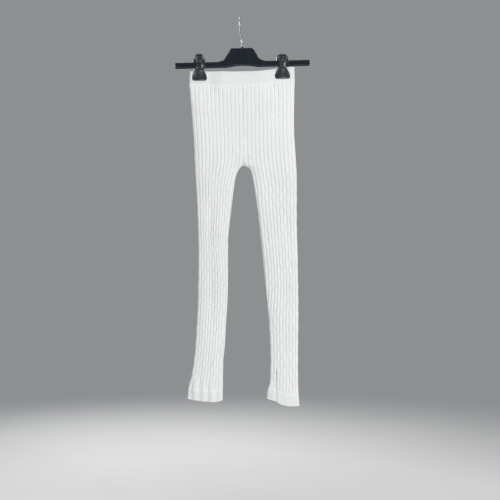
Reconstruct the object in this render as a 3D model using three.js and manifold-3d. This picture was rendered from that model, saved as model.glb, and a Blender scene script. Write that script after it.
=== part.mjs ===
import * as THREE from 'three';
import { mergeVertices } from 'three/addons/utils/BufferGeometryUtils.js';
import Module from 'manifold-3d';

// Leggings in a waved rib knit, hung flat by two clips from a plastic hanger with a wire hook.
// Millimetres, +Z up, +X to the viewer's right, and the garment's front faces -Y.
// The origin lies under the top of the hook's bend, where the rod that carries it would touch.

// Cloth
const SEAM_GAP = 0.3;
const LEG_WALL = 1.6;
const BAND_WALL = 2.2;
const RIB_HEIGHT = 1.0;
const RIBS_ROUND_LEG = 26;
const HALF_WAVES = 43;
const FOLD_ROUNDING = 26;
const LOOP_SAMPLES = 60;
const WAISTBAND_COLUMNS = 64;
const HEM_COLUMNS = 44;
const LEG_COLUMNS = 2 * RIBS_ROUND_LEG;

// Heights down the garment, before its top and bottom edges are bent to their curves
const WAIST_TOP = -131;
const WAIST_SEAM = -160;
const HEM_SEAM = -893;
const HEM_BOTTOM = -916;
const ANKLE_TOP = -835;
const LEG_TOP = WAIST_SEAM - SEAM_GAP;
const HALF_WAVE = (LEG_TOP - HEM_SEAM) / HALF_WAVES;

// How far the grooves between ribs swing, in ribs: the waves grow below the hips
const HIP_WAVE_SWING = 0.03;
const LEG_WAVE_SWING = 0.12;
const WAVES_GROW = -260;
const WAVES_GROWN = -440;

// The seat seam turns up from the crotch to the front and the back in a U this high
const CROTCH_Z = -355;
const CROTCH_RISE = 16;
const CROTCH_ROWS = [-351.5, CROTCH_Z, -357, -370];

// Between these heights the ribs lean over evenly from the seat seam to the inner leg
const RIB_LEAN_TOP = -240;
const RIB_LEAN_BOTTOM = -460;
const SEAT_SPREAD = 5;

// Half the space between the front and back layers
const HOLLOW = [
  { z: -120, half: 4.8 },
  { z: -170, half: 5.4 },
  { z: -230, half: 6.4 },
  { z: -355, half: 6.4 },
  { z: -450, half: 5.4 },
  { z: -620, half: 5.0 },
  { z: -880, half: 4.8 },
  { z: -930, half: 5.2 },
];

// The seam down the middle of the seat, seen from the front
const CENTRE = [
  { z: -120, x: 6.0 },
  { z: -355, x: 9.3 },
];

// The outline of each leg: the outer edge from the waist down, the inner edge from the crotch down
const RIGHT_OUTER = [
  { z: -120, x: -118.0 },
  { z: -133, x: -118.8 },
  { z: -156, x: -120.0 },
  { z: -181, x: -118.4 },
  { z: -219, x: -115.0 },
  { z: -295, x: -109.2 },
  { z: -357, x: -106.4 },
  { z: -447, x: -101.2 },
  { z: -562, x: -97.8 },
  { z: -676, x: -99.3 },
  { z: -733, x: -102.0 },
  { z: -790, x: -105.6 },
  { z: -847, x: -112.2 },
  { z: -895, x: -122.4 },
  { z: -930, x: -124.0 },
];
const RIGHT_INNER = [
  { z: -355, x: 9.15 },
  { z: -357, x: 4.0 },
  { z: -366, x: -3.0 },
  { z: -390, x: -11.0 },
  { z: -447, x: -18.2 },
  { z: -504, x: -24.8 },
  { z: -533, x: -27.2 },
  { z: -647, x: -27.8 },
  { z: -733, x: -32.4 },
  { z: -790, x: -35.8 },
  { z: -819, x: -38.8 },
  { z: -930, x: -40.2 },
];
const LEFT_OUTER = [
  { z: -120, x: 130.2 },
  { z: -151, x: 131.4 },
  { z: -257, x: 129.8 },
  { z: -333, x: 133.8 },
  { z: -390, x: 136.6 },
  { z: -476, x: 136.6 },
  { z: -590, x: 139.0 },
  { z: -704, x: 140.4 },
  { z: -819, x: 139.6 },
  { z: -876, x: 140.2 },
  { z: -930, x: 144.0 },
];
const LEFT_INNER = [
  { z: -355, x: 9.45 },
  { z: -357, x: 16.4 },
  { z: -366, x: 26.6 },
  { z: -390, x: 32.4 },
  { z: -447, x: 41.4 },
  { z: -533, x: 51.2 },
  { z: -647, x: 62.6 },
  { z: -733, x: 70.6 },
  { z: -819, x: 73.8 },
  { z: -876, x: 72.0 },
  { z: -895, x: 66.4 },
  { z: -930, x: 63.6 },
];

// How far the top edge and each bottom edge stand above their level, across the garment
const TOP_EDGE = [
  { x: -120, rise: 1.0 },
  { x: -70, rise: 0.0 },
  { x: -10, rise: -0.7 },
  { x: 30, rise: 0.0 },
  { x: 54, rise: 1.6 },
  { x: 83, rise: 6.2 },
  { x: 124, rise: 11.2 },
  { x: 132, rise: 10.7 },
];
const RIGHT_HEM_EDGE = [
  { x: -124, rise: 6.0 },
  { x: -88, rise: 1.0 },
  { x: -60, rise: -1.0 },
  { x: -40, rise: 3.0 },
];
const LEFT_HEM_EDGE = [
  { x: 64, rise: 7.0 },
  { x: 74, rise: 4.0 },
  { x: 83, rise: 1.5 },
  { x: 102, rise: -7.6 },
  { x: 121, rise: -11.0 },
  { x: 144, rise: -10.4 },
];

const LEGS = {
  leg_right: {
    side: -1,
    outer: curve(RIGHT_OUTER, 'z', 'x'),
    inner: curve(RIGHT_INNER, 'z', 'x'),
    hemRise: curve(RIGHT_HEM_EDGE, 'x', 'rise'),
  },
  leg_left: {
    side: 1,
    outer: curve(LEFT_OUTER, 'z', 'x'),
    inner: curve(LEFT_INNER, 'z', 'x'),
    hemRise: curve(LEFT_HEM_EDGE, 'x', 'rise'),
  },
};

// Soft folds near the ankles: flutes through both layers of the right leg, and a crease in the
// front of the left leg that begins where the layer is clear of the inner edge
const FLUTE_PITCH = 20.0;
const FLUTE_DEPTH = 1.3;
const FLUTE_CREST_X = -86.0;
const FLUTE_TOP = -850;
const CREASE_X = 87.0;
const CREASE_TOP = -832;
const CREASE_GROWN = -865;
const CREASE_DEPTH = 2.4;
const CREASE_WIDTH = 5.0;
const CREASE_FROM_EDGE = 3.0;
const CREASE_FULL = 9.0;

// Hanger: a rail that tilts up to the viewer's right, with flanges round a thinner web
const RAIL_LENGTH = 320;
const RAIL_HEIGHT = 13;
const RAIL_DEPTH = 9;
const RAIL_CENTRE = { x: 6.75, z: -113.9 };
const RAIL_TILT = THREE.MathUtils.degToRad(1.36);
const RAIL_END_RADIUS = 3;
const FLANGE = 2.2;
const WEB_DEPTH = 4.4;
const HUMP_TOP = 38.3;
const HUMP_LEFT = { foot: -60, waist: -40.5, shoulder: -27.5, corner: 4 };
const HUMP_RIGHT = { foot: 56, waist: 36, shoulder: 31, corner: 8.5 };
const ARCH_HALF_WIDTH = 36;
const ARCH_RISE = 4;
const NUB_RADIUS = 4.6;
const NUB_HEIGHT = 3.4;
const NUB_TAPER = 0.7;
const POST_RADIUS = 3.4;
const ROUND_SIDES = 14;

// Wire hook, bent in the plane across the hanger
const WIRE_RADIUS = 1.6;
const HOOK_RADIUS = 21;
const HOOK_STRAIGHT_TOP = -22;
const HOOK_FOOT_DEPTH = 9;
const BORE_CLEARANCE = 0.35;
const HOOK_STEPS = 44;
const HOOK_ARC = { start: -35, end: 212, step: 13 };
const HOOK_STEM = [
  { y: 0.0, z: -60.0 },
  { y: -2.6, z: -51.7 },
  { y: -8.6, z: -43.7 },
];

// Clips: places along the garment, widths, and how far the levers stand above the rail's centre
const CLIPS = {
  clip_right: { x: -95.4, lever: 19.8, neck: 17.6, jaw: 35.0, frontTop: 25.2, backTop: 25.2 },
  clip_left: { x: 102, lever: 24.0, neck: 14.0, jaw: 36.0, frontTop: 19.2, backTop: 24.2 },
};
const SLIDER = { width: 27, depth: 13.6, above: 15, below: 8, radius: 2 };
const RAIL_CLEARANCE = 0.35;
const JAW_FACE = SEAM_GAP / 2 + BAND_WALL + SEAM_GAP;
const SLIDER_FACE = SLIDER.depth / 2 + SEAM_GAP;
const PINCH_HALF_WIDTH = 22;
const PINCH_FADE = 34;
const PINCH_BOTTOM = -215;

// One clip half from its lever to its jaw: height, width as shares of the three widths,
// the distance of its inner face from the middle plane, and its thickness
const CLIP_ROWS = [
  { up: 1.0, share: { lever: 0.62 }, face: 9.7, thick: 1.6 },
  { up: 0.94, share: { lever: 0.88 }, face: 9.5, thick: 2.4 },
  { up: 0.82, share: { lever: 1.0 }, face: 8.9, thick: 2.8 },
  { up: 0.5, share: { lever: 0.98 }, face: 7.7, thick: 2.8 },
  { up: 0.2, share: { lever: 0.4, neck: 0.6 }, face: SLIDER_FACE, thick: 3.0 },
  { height: -4, share: { neck: 1.0 }, face: SLIDER_FACE, thick: 3.2 },
  { height: -11, share: { neck: 0.85, jaw: 0.15 }, face: SLIDER_FACE, thick: 3.2 },
  { height: -18, share: { neck: 0.45, jaw: 0.55 }, face: 4.8, thick: 3.2 },
  { height: -25, share: { jaw: 0.95 }, face: JAW_FACE, thick: 3.4 },
  { height: -30, share: { jaw: 1.0 }, face: JAW_FACE, thick: 3.2 },
  { height: -34.4, share: { jaw: 0.96 }, face: JAW_FACE, thick: 2.4 },
  { height: -36.4, share: { jaw: 0.84 }, face: JAW_FACE, thick: 1.4 },
];
const CLIP_COLUMNS = 8;
const CLIP_CROWN = 0.4;

// Colours
const KNIT = new THREE.MeshStandardMaterial({ color: 0xe9eaea, roughness: 0.95, metalness: 0 });
const PLASTIC = new THREE.MeshStandardMaterial({ color: 0x1d2534, roughness: 0.22, metalness: 0 });
const STEEL = new THREE.MeshStandardMaterial({ color: 0xc9ccd0, roughness: 0.25, metalness: 1 });

const manifoldLibrary = await Module();
manifoldLibrary.setup();

// A smooth curve through a table's rows that never swings past them.
function curve(table, key, column) {
  const places = table.map((row) => row[key]);
  const values = table.map((row) => row[column]);
  const rises = values.slice(1).map((value, i) => (value - values[i]) / (places[i + 1] - places[i]));
  const slopes = values.map((_, i) => {
    const before = rises[i - 1] ?? rises[i];
    const after = rises[i] ?? before;
    return before * after <= 0 ? 0 : (2 * before * after) / (before + after);
  });
  return (place) => {
    const low = Math.min(places[0], places.at(-1));
    const high = Math.max(places[0], places.at(-1));
    const at = THREE.MathUtils.clamp(place, low, high);
    const i = rises.findIndex((_, k) => (at - places[k]) * (at - places[k + 1]) <= 0);
    const span = places[i + 1] - places[i];
    const t = (at - places[i]) / span;
    const bend = t * (1 - t) * span;
    const line = THREE.MathUtils.lerp(values[i], values[i + 1], t * t * (3 - 2 * t));
    return line + bend * (slopes[i] * (1 - t) - slopes[i + 1] * t);
  };
}

const hollowHalf = curve(HOLLOW, 'z', 'half');
const centreX = curve(CENTRE, 'z', 'x');
const topRise = curve(TOP_EDGE, 'x', 'rise');

// A quarter circle from 0 at a folded edge to 1 where the layers run parallel.
function rounded(distance) {
  const left = 1 - THREE.MathUtils.clamp(distance, 0, 1);
  return Math.sqrt(1 - left * left);
}

// 1 where a clip presses the layers together, fading to 0 round it and below it.
function pinch(x, z) {
  const down = THREE.MathUtils.smoothstep(z, PINCH_BOTTOM, WAIST_SEAM);
  const presses = Object.values(CLIPS).map((clip) => {
    const past = Math.abs(x - clip.x) - PINCH_HALF_WIDTH;
    return 1 - THREE.MathUtils.smoothstep(past, 0, PINCH_FADE);
  });
  return down * Math.max(...presses);
}

// The flattened loop of cloth at one height, round its inside: along the front from one edge to
// the fold, and back behind. opened is 0 where the first edge is shut and 1 where it stands open.
function flatLoop(z, start, fold, opened) {
  const width = Math.abs(fold - start);
  const rounding = Math.min(FOLD_ROUNDING, 0.45 * width);
  const front = [];
  for (let i = 0; i <= LOOP_SAMPLES; i += 1) {
    const along = (1 - Math.cos((Math.PI * i) / LOOP_SAMPLES)) / 2;
    const x = THREE.MathUtils.lerp(start, fold, along);
    const fromStart = rounded(opened + (along * width) / rounding);
    const fromFold = rounded(((1 - along) * width) / rounding);
    const gap = hollowHalf(z) * fromStart * fromFold * (1 - pinch(x, z));
    front.push(new THREE.Vector2(x, i < LOOP_SAMPLES ? -Math.max(gap, SEAM_GAP / 2) : 0));
  }
  const back = front.slice(0, -1).reverse().map((point) => new THREE.Vector2(point.x, -point.y));
  const loop = new THREE.SplineCurve([...front, ...back]);
  loop.arcLengthDivisions = 400;
  return loop;
}

// The direction out of the loop at one place on it, from the points a little either side.
function outward(loop, place, side, reach) {
  const before = loop.getPointAt(Math.max(place - reach, 0));
  const after = loop.getPointAt(Math.min(place + reach, 1));
  const along = after.sub(before).normalize();
  return new THREE.Vector2(along.y * side, -along.x * side);
}

// Bends a point of the flat garment to its edges' curves and to the soft folds at the ankles.
function drape(leg, x, y, z) {
  const atTop = THREE.MathUtils.smoothstep(z, -300, -165);
  const atHem = 1 - THREE.MathUtils.smoothstep(z, -880, -760);
  const rise = topRise(x) * atTop + (leg ? leg.hemRise(x) * atHem : 0);
  let shift = 0;
  if (leg === LEGS.leg_right) {
    const grown = 1 - THREE.MathUtils.smoothstep(z, HEM_SEAM, FLUTE_TOP);
    shift = -FLUTE_DEPTH * grown * Math.cos((2 * Math.PI * (x - FLUTE_CREST_X)) / FLUTE_PITCH);
  }
  if (leg === LEGS.leg_left && y < 0) {
    const clearOfEdge = THREE.MathUtils.smoothstep(x - leg.inner(z), CREASE_FROM_EDGE, CREASE_FULL);
    const grown = clearOfEdge * (1 - THREE.MathUtils.smoothstep(z, CREASE_GROWN, CREASE_TOP));
    shift = CREASE_DEPTH * grown * Math.exp(-(((x - CREASE_X) / CREASE_WIDTH) ** 2));
  }
  return new THREE.Vector3(x, y + shift, z + rise);
}

// A closed body between an outer and an inner grid of points, joined round the grids' edges.
// Each grid has its rows of points and the places of its rows and columns; ring closes the columns.
function wallGeometry(outer, inner, ring) {
  const positions = [];
  const triangles = [];
  const index = (grid) => grid.points.map((row) => row.map((point) => {
    positions.push(point.x, point.y, point.z);
    return positions.length / 3 - 1;
  }));
  const wrapped = (rows) => (ring ? rows.map((row) => [...row, row[0]]) : rows);
  const outerRows = wrapped(index(outer));
  const innerRows = wrapped(index(inner));
  const face = (rows, flipped) => {
    for (let r = 0; r < rows.length - 1; r += 1) {
      for (let c = 0; c < rows[r].length - 1; c += 1) {
        const [a, b] = [rows[r][c], rows[r][c + 1]];
        const [d, e] = [rows[r + 1][c], rows[r + 1][c + 1]];
        triangles.push(...(flipped ? [a, e, b, a, d, e] : [a, b, e, a, e, d]));
      }
    }
  };
  const join = (edge, edgePlaces, rim, rimPlaces) => {
    let i = 0;
    let j = 0;
    while (i < edge.length - 1 || j < rim.length - 1) {
      const nextEdge = i < edge.length - 1 ? Math.abs(edgePlaces[i + 1] - edgePlaces[0]) : Infinity;
      const nextRim = j < rim.length - 1 ? Math.abs(rimPlaces[j + 1] - rimPlaces[0]) : Infinity;
      if (nextEdge <= nextRim) {
        triangles.push(edge[i + 1], edge[i], rim[j]);
        i += 1;
      } else {
        triangles.push(edge[i], rim[j], rim[j + 1]);
        j += 1;
      }
    }
  };
  face(outerRows, false);
  face(innerRows, true);
  const reversed = (list) => [...list].reverse();
  join(outerRows[0], outer.columns, innerRows[0], inner.columns);
  join(reversed(outerRows.at(-1)), reversed(outer.columns), reversed(innerRows.at(-1)),
    reversed(inner.columns));
  if (!ring) {
    const side = (rows, column) => rows.map((row) => row.at(column));
    join(side(outerRows, -1), outer.rows, side(innerRows, -1), inner.rows);
    join(reversed(side(outerRows, 0)), reversed(outer.rows), reversed(side(innerRows, 0)),
      reversed(inner.rows));
  }
  const geometry = new THREE.BufferGeometry();
  geometry.setAttribute('position', new THREE.Float32BufferAttribute(positions, 3));
  geometry.setIndex(triangles);
  return facingOut(geometry);
}

// Turns every triangle over if the body's volume comes out negative.
function facingOut(geometry) {
  const corners = geometry.getAttribute('position');
  const index = geometry.getIndex().array;
  const [a, b, c] = [new THREE.Vector3(), new THREE.Vector3(), new THREE.Vector3()];
  let volume = 0;
  for (let i = 0; i < index.length; i += 3) {
    a.fromBufferAttribute(corners, index[i]);
    b.fromBufferAttribute(corners, index[i + 1]);
    c.fromBufferAttribute(corners, index[i + 2]);
    volume += a.dot(b.cross(c));
  }
  if (volume < 0) {
    geometry.setIndex(Array.from(index).reverse());
  }
  geometry.computeVertexNormals();
  return geometry;
}

// How far a groove of a leg's outside swings along the loop, in columns. Even columns are the
// grooves between ribs; neighbours swing opposite ways, so the ribs swell and narrow in turn.
function grooveSwing(column, z) {
  const isGroove = column % 2 === 0 && column > 0 && column < LEG_COLUMNS;
  const wave = Math.cos((Math.PI * (LEG_TOP - z)) / HALF_WAVE);
  const grown = 1 - THREE.MathUtils.smoothstep(z, WAVES_GROWN, WAVES_GROW);
  const swing = THREE.MathUtils.lerp(HIP_WAVE_SWING, LEG_WAVE_SWING, grown);
  return isGroove ? 2 * swing * wave * (column % 4 === 0 ? 1 : -1) : 0;
}

// Where a column stands round the loop, from 0 to 1. Round the crotch the ribs next to the seam
// spread to fill the seat, so that the others run on smoothly down the leg.
function columnPlace(column, section) {
  const fromFold = 1 - (2 * column) / LEG_COLUMNS;
  const spread = section.evenness + (1 - section.evenness) * Math.abs(fromFold) ** SEAT_SPREAD;
  return (1 - fromFold * spread) / 2;
}

// One height of a leg: its loop, the x of its inner edge, how far that edge has turned from
// facing the other leg (0) to facing front and back (1), and how evenly the ribs are spaced.
function legSection(leg, z) {
  const opened = THREE.MathUtils.clamp((z - CROTCH_Z) / CROTCH_RISE, 0, 1);
  const edge = z > CROTCH_Z ? centreX(z) + (leg.side * SEAM_GAP) / 2 : leg.inner(z);
  const start = edge + leg.side * LEG_WALL * (1 - opened);
  const fold = leg.outer(z) - leg.side * (LEG_WALL + RIB_HEIGHT / 2);
  const leaning = z < RIB_LEAN_TOP && z > RIB_LEAN_BOTTOM;
  const lean = THREE.MathUtils.smoothstep(z, RIB_LEAN_BOTTOM, RIB_LEAN_TOP);
  const softEdge = THREE.MathUtils.lerp(leg.inner(RIB_LEAN_BOTTOM), centreX(RIB_LEAN_TOP), lean);
  const evenness = leaning ? (leg.outer(z) - softEdge) / (leg.outer(z) - edge) : 1;
  return { loop: flatLoop(z, start, fold, opened), edge, turned: rounded(opened), evenness };
}

function legOutside(leg, z, section) {
  const reach = 0.4 / LEG_COLUMNS;
  return Array.from({ length: LEG_COLUMNS + 1 }, (_, column) => {
    const place = columnPlace(column + grooveSwing(column, z), section);
    const base = section.loop.getPointAt(place);
    if (column === 0 || column === LEG_COLUMNS) {
      const y = base.y + Math.sign(base.y) * LEG_WALL * section.turned;
      return drape(leg, section.edge, y, z);
    }
    const thickness = LEG_WALL + (column % 2) * RIB_HEIGHT;
    base.addScaledVector(outward(section.loop, place, leg.side, reach), thickness);
    const x = leg.side * Math.max(leg.side * base.x, leg.side * section.edge);
    return drape(leg, x, base.y, z);
  });
}

function legInside(leg, z, section, columns) {
  return columns.map((column) => {
    const base = section.loop.getPointAt(columnPlace(column, section));
    return drape(leg, base.x, base.y, z);
  });
}

// A leg panel: ribs on the outside, a plain inside with fewer points away from its bends.
function legGeometry(leg) {
  const even = Array.from({ length: HALF_WAVES + 1 }, (_, i) => LEG_TOP - i * HALF_WAVE);
  const heights = [...even.slice(0, -1), HEM_SEAM, ...CROTCH_ROWS].sort((a, b) => b - a);
  const sections = heights.map((z) => legSection(leg, z));
  const allColumns = Array.from({ length: LEG_COLUMNS + 1 }, (_, column) => column);
  const insideColumns = allColumns.filter((column) => {
    const nearEdge = column === 0 || column === LEG_COLUMNS;
    const nearFold = Math.abs(column - LEG_COLUMNS / 2) === 2;
    return nearEdge || nearFold || column % 4 === 2;
  });
  const insideRows = heights.map((z, row) => row).filter((row) => {
    const nearCrotch = Math.abs(heights[row] - CROTCH_Z) < 40;
    const nearEnds = heights[row] > PINCH_BOTTOM || heights[row] < ANKLE_TOP;
    return nearCrotch || nearEnds || row % 3 === 0;
  });
  const outer = {
    points: heights.map((z, row) => legOutside(leg, z, sections[row])),
    rows: heights.map((z, row) => row),
    columns: allColumns,
  };
  const inner = {
    points: insideRows.map((row) => legInside(leg, heights[row], sections[row], insideColumns)),
    rows: insideRows,
    columns: insideColumns,
  };
  return wallGeometry(outer, inner, false);
}

// A plain band that closes on itself. edges gives the x of its two folds at a height.
function bandGeometry(leg, heights, columnCount, edges) {
  const columns = Array.from({ length: columnCount + 1 }, (_, column) => column);
  const layers = { outer: [], inner: [] };
  heights.forEach((z) => {
    const [from, to] = edges(z);
    const side = Math.sign(to - from);
    const loop = flatLoop(z, from + side * BAND_WALL, to - side * BAND_WALL, 0);
    const insideRow = [];
    const outsideRow = [];
    columns.slice(0, -1).forEach((column) => {
      const place = column / columnCount;
      const base = loop.getPointAt(place);
      const out = column === 0 ? new THREE.Vector2(-side, 0)
        : outward(loop, place, side, 0.4 / columnCount);
      insideRow.push(drape(leg, base.x, base.y, z));
      base.addScaledVector(out, BAND_WALL);
      outsideRow.push(drape(leg, base.x, base.y, z));
    });
    layers.outer.push(outsideRow);
    layers.inner.push(insideRow);
  });
  const rows = heights.map((z, row) => row);
  return wallGeometry({ points: layers.outer, rows, columns },
    { points: layers.inner, rows, columns }, true);
}

function toSolid(geometry) {
  const bare = geometry.clone();
  bare.deleteAttribute('normal');
  bare.deleteAttribute('uv');
  const merged = mergeVertices(bare, 1e-4);
  return new manifoldLibrary.Manifold(new manifoldLibrary.Mesh({
    numProp: 3,
    vertProperties: new Float32Array(merged.getAttribute('position').array),
    triVerts: new Uint32Array(merged.getIndex().array),
  }));
}

function toGeometry(solid) {
  const mesh = solid.getMesh();
  const geometry = new THREE.BufferGeometry();
  geometry.setAttribute('position', new THREE.Float32BufferAttribute(mesh.vertProperties, 3));
  geometry.setIndex(Array.from(mesh.triVerts));
  geometry.computeVertexNormals();
  return geometry;
}

// The hanger's outline seen from the front, drawn inwards by inset for the recess in its web.
function hangerOutline(inset) {
  const end = RAIL_LENGTH / 2 - inset;
  const top = RAIL_HEIGHT / 2 - inset;
  const radius = Math.max(RAIL_END_RADIUS - inset, 0.8);
  const crown = HUMP_TOP - inset;
  const left = { shoulder: HUMP_LEFT.shoulder + inset, waist: HUMP_LEFT.waist + inset };
  const right = { shoulder: HUMP_RIGHT.shoulder - inset, waist: HUMP_RIGHT.waist - inset };
  const shape = new THREE.Shape();
  shape.moveTo(-end + radius, -top);
  shape.lineTo(-ARCH_HALF_WIDTH, -top);
  shape.quadraticCurveTo(0, -top + 2 * ARCH_RISE, ARCH_HALF_WIDTH, -top);
  shape.lineTo(end - radius, -top);
  shape.quadraticCurveTo(end, -top, end, -top + radius);
  shape.lineTo(end, top - radius);
  shape.quadraticCurveTo(end, top, end - radius, top);
  shape.lineTo(HUMP_RIGHT.foot, top);
  shape.quadraticCurveTo(right.waist + 2, top + 3, right.waist, top + 14);
  shape.lineTo(right.shoulder, crown - HUMP_RIGHT.corner);
  shape.quadraticCurveTo(right.shoulder, crown, right.shoulder - HUMP_RIGHT.corner, crown);
  shape.lineTo(left.shoulder + HUMP_LEFT.corner, crown);
  shape.quadraticCurveTo(left.shoulder, crown, left.shoulder - 1, crown - HUMP_LEFT.corner);
  shape.lineTo(left.waist, top + 9);
  shape.quadraticCurveTo(left.waist - 4, top + 2, HUMP_LEFT.foot, top);
  shape.lineTo(-end + radius, top);
  shape.quadraticCurveTo(-end, top, -end, top - radius);
  shape.lineTo(-end, -top + radius);
  shape.quadraticCurveTo(-end, -top, -end + radius, -top);
  return shape;
}

// A plate of that outline, standing upright between two depths.
function hangerPlate(inset, from, to) {
  const plate = new THREE.ExtrudeGeometry(hangerOutline(inset), {
    depth: to - from, bevelEnabled: false, curveSegments: 4,
  });
  plate.rotateX(Math.PI / 2);
  plate.translate(0, to, 0);
  return toSolid(plate);
}

function hangerBody() {
  const half = RAIL_DEPTH / 2;
  const recess = WEB_DEPTH / 2;
  const nub = new THREE.CylinderGeometry(NUB_RADIUS * NUB_TAPER, NUB_RADIUS, 2 * NUB_HEIGHT, ROUND_SIDES);
  nub.rotateX(Math.PI / 2);
  nub.translate(0, 0, HUMP_TOP);
  const boreDepth = HOOK_FOOT_DEPTH + BORE_CLEARANCE;
  const boreRadius = WIRE_RADIUS + BORE_CLEARANCE;
  const bore = new THREE.CylinderGeometry(boreRadius, boreRadius, 2 * boreDepth, ROUND_SIDES);
  bore.rotateX(Math.PI / 2);
  bore.translate(0, 0, HUMP_TOP + NUB_HEIGHT);
  const post = new THREE.CylinderGeometry(POST_RADIUS, POST_RADIUS, boreDepth + NUB_HEIGHT, ROUND_SIDES);
  post.rotateX(Math.PI / 2);
  post.translate(0, 0, HUMP_TOP - (boreDepth + NUB_HEIGHT) / 2);
  return toGeometry(hangerPlate(0, -half, half)
    .subtract(hangerPlate(FLANGE, -half - 1, -recess))
    .subtract(hangerPlate(FLANGE, recess, half + 1))
    .add(toSolid(post))
    .add(toSolid(nub))
    .subtract(toSolid(bore)));
}

// A point of the tilted hanger, given along and above the middle of its rail.
function onHanger(along, above) {
  const x = RAIL_CENTRE.x + along * Math.cos(RAIL_TILT) - above * Math.sin(RAIL_TILT);
  const z = RAIL_CENTRE.z + along * Math.sin(RAIL_TILT) + above * Math.cos(RAIL_TILT);
  return { x, z };
}

function hookGeometry() {
  const mouth = HUMP_TOP + NUB_HEIGHT;
  const foot = onHanger(0, mouth - HOOK_FOOT_DEPTH);
  const entry = onHanger(0, mouth + 1);
  const leanHeight = HOOK_STRAIGHT_TOP - entry.z;
  const lean = (z) => entry.x * THREE.MathUtils.clamp((HOOK_STRAIGHT_TOP - z) / leanHeight, 0, 1);
  const points = [new THREE.Vector3(foot.x, 0, foot.z), new THREE.Vector3(entry.x, 0, entry.z)];
  HOOK_STEM.forEach((bend) => points.push(new THREE.Vector3(lean(bend.z), bend.y, bend.z)));
  for (let angle = HOOK_ARC.start; angle <= HOOK_ARC.end; angle += HOOK_ARC.step) {
    const turn = THREE.MathUtils.degToRad(angle);
    const z = WIRE_RADIUS - HOOK_RADIUS + HOOK_RADIUS * Math.sin(turn);
    points.push(new THREE.Vector3(lean(z), -HOOK_RADIUS * Math.cos(turn), z));
  }
  const wire = new THREE.Shape().absarc(0, 0, WIRE_RADIUS, 0, 2 * Math.PI);
  const route = new THREE.CatmullRomCurve3(points, false, 'centripetal');
  return new THREE.ExtrudeGeometry(wire, { steps: HOOK_STEPS, curveSegments: 4, extrudePath: route });
}

// Half a clip: a crowned plate through the rows of the clip table. face is -1 in front, 1 behind.
function clipHalf(clip, face, top) {
  const width = (share) => Object.entries(share)
    .reduce((sum, [name, part]) => sum + clip[name] * part, 0);
  const across = Array.from({ length: CLIP_COLUMNS + 1 }, (_, i) => (2 * i) / CLIP_COLUMNS - 1);
  const layer = (thickness) => CLIP_ROWS.map((row) => across.map((place) => {
    const height = row.height ?? row.up * top;
    const depth = row.face + thickness(row) * (1 - CLIP_CROWN * place * place);
    return new THREE.Vector3((place * width(row.share)) / 2, face * depth, height);
  }));
  const rows = CLIP_ROWS.map((row, i) => i);
  return wallGeometry({ points: layer((row) => row.thick), rows, columns: across },
    { points: layer(() => 0), rows, columns: across }, false);
}

// The block that rides on the rail, with the rail's own section cut through it.
function sliderGeometry() {
  const profile = new THREE.Shape();
  const [half, radius] = [SLIDER.depth / 2, SLIDER.radius];
  profile.moveTo(-half, -SLIDER.below);
  profile.lineTo(half, -SLIDER.below);
  profile.lineTo(half, SLIDER.above - radius);
  profile.quadraticCurveTo(half, SLIDER.above, half - radius, SLIDER.above);
  profile.lineTo(-half + radius, SLIDER.above);
  profile.quadraticCurveTo(-half, SLIDER.above, -half, SLIDER.above - radius);
  const hole = new THREE.Path();
  const [y, z] = [RAIL_DEPTH / 2 + RAIL_CLEARANCE, RAIL_HEIGHT / 2 + RAIL_CLEARANCE];
  hole.moveTo(-y, -z);
  hole.lineTo(-y, z);
  hole.lineTo(y, z);
  hole.lineTo(y, -z);
  profile.holes.push(hole);
  const block = new THREE.ExtrudeGeometry(profile, {
    depth: SLIDER.width, bevelEnabled: false, curveSegments: 4,
  });
  block.translate(0, 0, -SLIDER.width / 2);
  block.rotateX(Math.PI / 2);
  block.rotateZ(Math.PI / 2);
  return block;
}

function addMesh(group, name, geometry, material) {
  const mesh = new THREE.Mesh(geometry, material);
  mesh.name = name;
  group.add(mesh);
  return mesh;
}

const model = new THREE.Group();

const bandHeights = [WAIST_TOP, -141, -151, WAIST_SEAM];
const waistEdges = (z) => [LEGS.leg_right.outer(z), LEGS.leg_left.outer(z)];
addMesh(model, 'waistband', bandGeometry(null, bandHeights, WAISTBAND_COLUMNS, waistEdges), KNIT);

const hemHeights = [HEM_SEAM - SEAM_GAP, -900, -908, HEM_BOTTOM];
Object.entries(LEGS).forEach(([name, leg]) => {
  addMesh(model, name, legGeometry(leg), KNIT);
  const hemEdges = (z) => [leg.inner(z), leg.outer(z)];
  const hem = bandGeometry(leg, hemHeights, HEM_COLUMNS, hemEdges);
  addMesh(model, name.replace('leg', 'hem'), hem, KNIT);
});

const hanger = new THREE.Group();
hanger.position.set(RAIL_CENTRE.x, 0, RAIL_CENTRE.z);
hanger.rotation.y = -RAIL_TILT;
model.add(hanger);
addMesh(hanger, 'hanger_body', hangerBody(), PLASTIC);
addMesh(model, 'hanger_hook', hookGeometry(), STEEL);

Object.entries(CLIPS).forEach(([name, clip]) => {
  const along = (clip.x - RAIL_CENTRE.x) / Math.cos(RAIL_TILT);
  addMesh(hanger, `${name}_slider`, sliderGeometry(), PLASTIC).position.x = along;
  const height = onHanger(along, 0).z;
  const front = addMesh(model, `${name}_front`, clipHalf(clip, -1, clip.frontTop), PLASTIC);
  const back = addMesh(model, `${name}_back`, clipHalf(clip, 1, clip.backTop), PLASTIC);
  front.position.set(clip.x, 0, height);
  back.position.set(clip.x, 0, height);
});

export default model;
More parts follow.
